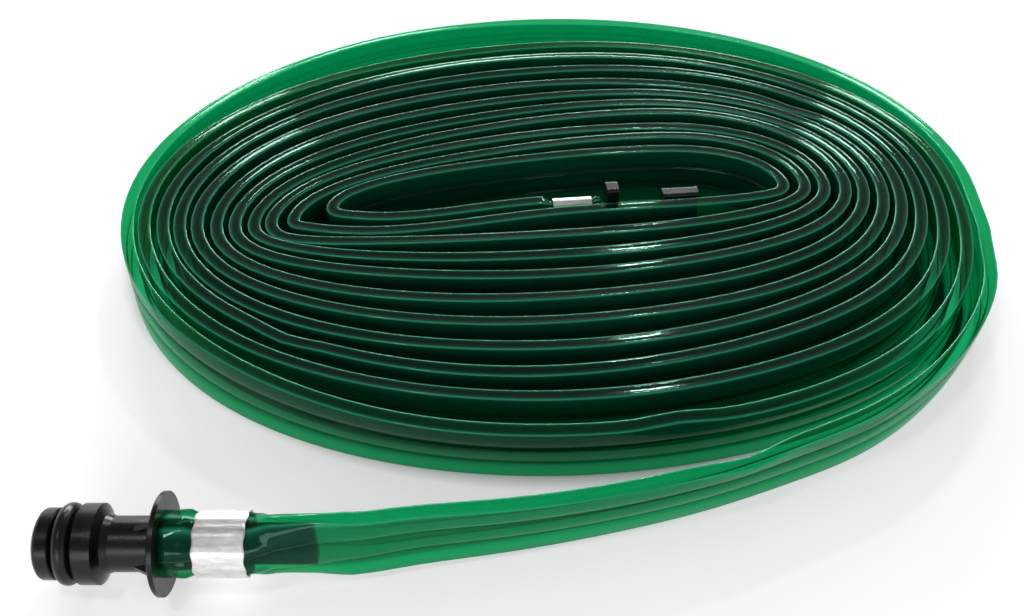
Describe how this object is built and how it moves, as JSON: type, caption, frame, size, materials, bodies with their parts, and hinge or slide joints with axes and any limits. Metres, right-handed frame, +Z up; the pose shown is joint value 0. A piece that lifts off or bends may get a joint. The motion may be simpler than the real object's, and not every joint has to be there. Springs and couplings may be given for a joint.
{
  "type": "soaker hose",
  "caption": "Flat green soaker hose wound on edge into an oval coil, with a quick-connect inlet on its outer end and a crimped plug on its inner end.",
  "frame": {"origin": "middle of the whole part's box, on the surface that the coil lies on", "axes": "+X along the coil's long side, from the inlet connector towards the coil's right side; +Y away from the free run, which lies on the -Y side; +Z up, square to the coil"},
  "size_m": [0.2368, 0.2244, 0.0218],
  "materials": {
    "hose": "translucent green PVC, glossy",
    "connector": "black moulded, satin",
    "o_ring": "black, slightly glossy",
    "ferrule": "bare, crimped"
  },
  "bodies": {
    "root": {"hose_coil": "hose", "hose_run": "hose", "inlet_connector": "connector", "inlet_o_ring": "o_ring", "inlet_ferrule": "ferrule", "end_plug": "connector", "end_ferrule": "ferrule"}
  },
  "joints": []
}
